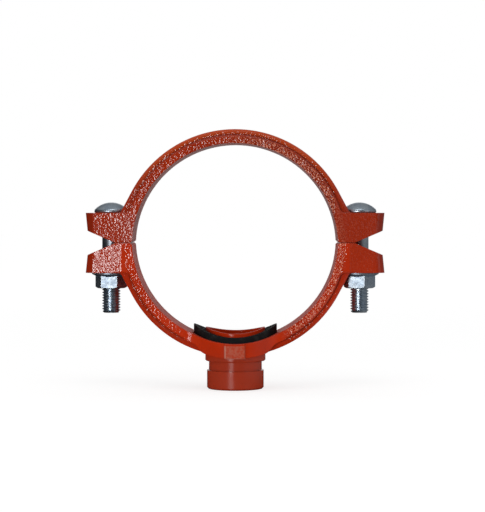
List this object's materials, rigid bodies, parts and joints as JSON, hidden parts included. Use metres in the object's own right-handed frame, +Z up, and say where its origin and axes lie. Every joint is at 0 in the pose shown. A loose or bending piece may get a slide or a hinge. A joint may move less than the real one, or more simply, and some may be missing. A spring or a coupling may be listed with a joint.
{
  "type": "grooved mechanical tee",
  "caption": "Bolted two-part pipe clamp with a grooved side outlet, a locating collar and a saddle gasket.",
  "frame": {"origin": "on the run pipe's axis, where the parting plane and the branch axis cross it", "axes": "+X across the bolts to the right, +Y along the run pipe away from the viewer, +Z up, with the branch pointing down"},
  "size_m": [0.2524, 0.0832, 0.2202],
  "materials": {
    "red_enamel": "glossy orange-red enamel over as-cast ductile iron",
    "black_rubber": "moulded black rubber",
    "zinc_steel": "bright zinc plate"
  },
  "bodies": {
    "outlet": {"outlet_housing": "red_enamel", "gasket": "black_rubber"},
    "strap": {"strap_housing": "red_enamel", "left_bolt": "zinc_steel", "right_bolt": "zinc_steel"},
    "left_nut": {"left_nut": "zinc_steel"},
    "right_nut": {"right_nut": "zinc_steel"}
  },
  "joints": [
    {"name": "left_nut_turn", "type": "hinge", "parent": "outlet", "child": "left_nut", "pos_m": [-0.1058, 0, -0.0254], "axis": [0, 0, 1], "range_deg": [-3240, 0]},
    {"name": "right_nut_turn", "type": "hinge", "parent": "outlet", "child": "right_nut", "pos_m": [0.1058, 0, -0.0254], "axis": [0, 0, 1], "range_deg": [-3240, 0]},
    {"name": "strap_lift", "type": "slide", "parent": "outlet", "child": "strap", "axis": [0, 0, 1], "range_m": [0, 0.02078]}
  ],
  "couplings": [
    {"joint": "left_nut_turn", "follows": "strap_lift", "rad_per_m": -2721.2},
    {"joint": "right_nut_turn", "follows": "strap_lift", "rad_per_m": -2721.2}
  ]
}
